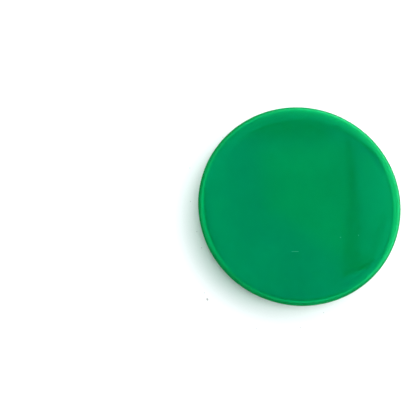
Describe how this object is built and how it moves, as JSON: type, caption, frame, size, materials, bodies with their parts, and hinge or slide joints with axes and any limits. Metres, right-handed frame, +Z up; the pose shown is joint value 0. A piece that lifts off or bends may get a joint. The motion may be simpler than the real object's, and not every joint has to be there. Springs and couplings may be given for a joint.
{
  "type": "dealer button",
  "caption": "Round glossy green plastic dealer button with softly rounded edges, blank on top, with an engraved and paint-filled ring and card suit mark on its underside.",
  "frame": {"origin": "centre of the underside, on the surface the button lies on", "axes": "+Z up through the disc's thickness, towards the blank face; +Y from the centre towards the spade, +X towards the heart"},
  "size_m": [0.04, 0.04, 0.005],
  "materials": {
    "green_plastic": "glossy moulded opaque green with fine handling scratches",
    "filling_paint": "satin off-white filling paint"
  },
  "bodies": {
    "root": {"disc": "green_plastic", "border_ring_fill": "filling_paint", "spade_fill": "filling_paint", "heart_fill": "filling_paint", "diamond_fill": "filling_paint", "club_fill": "filling_paint"}
  },
  "joints": []
}
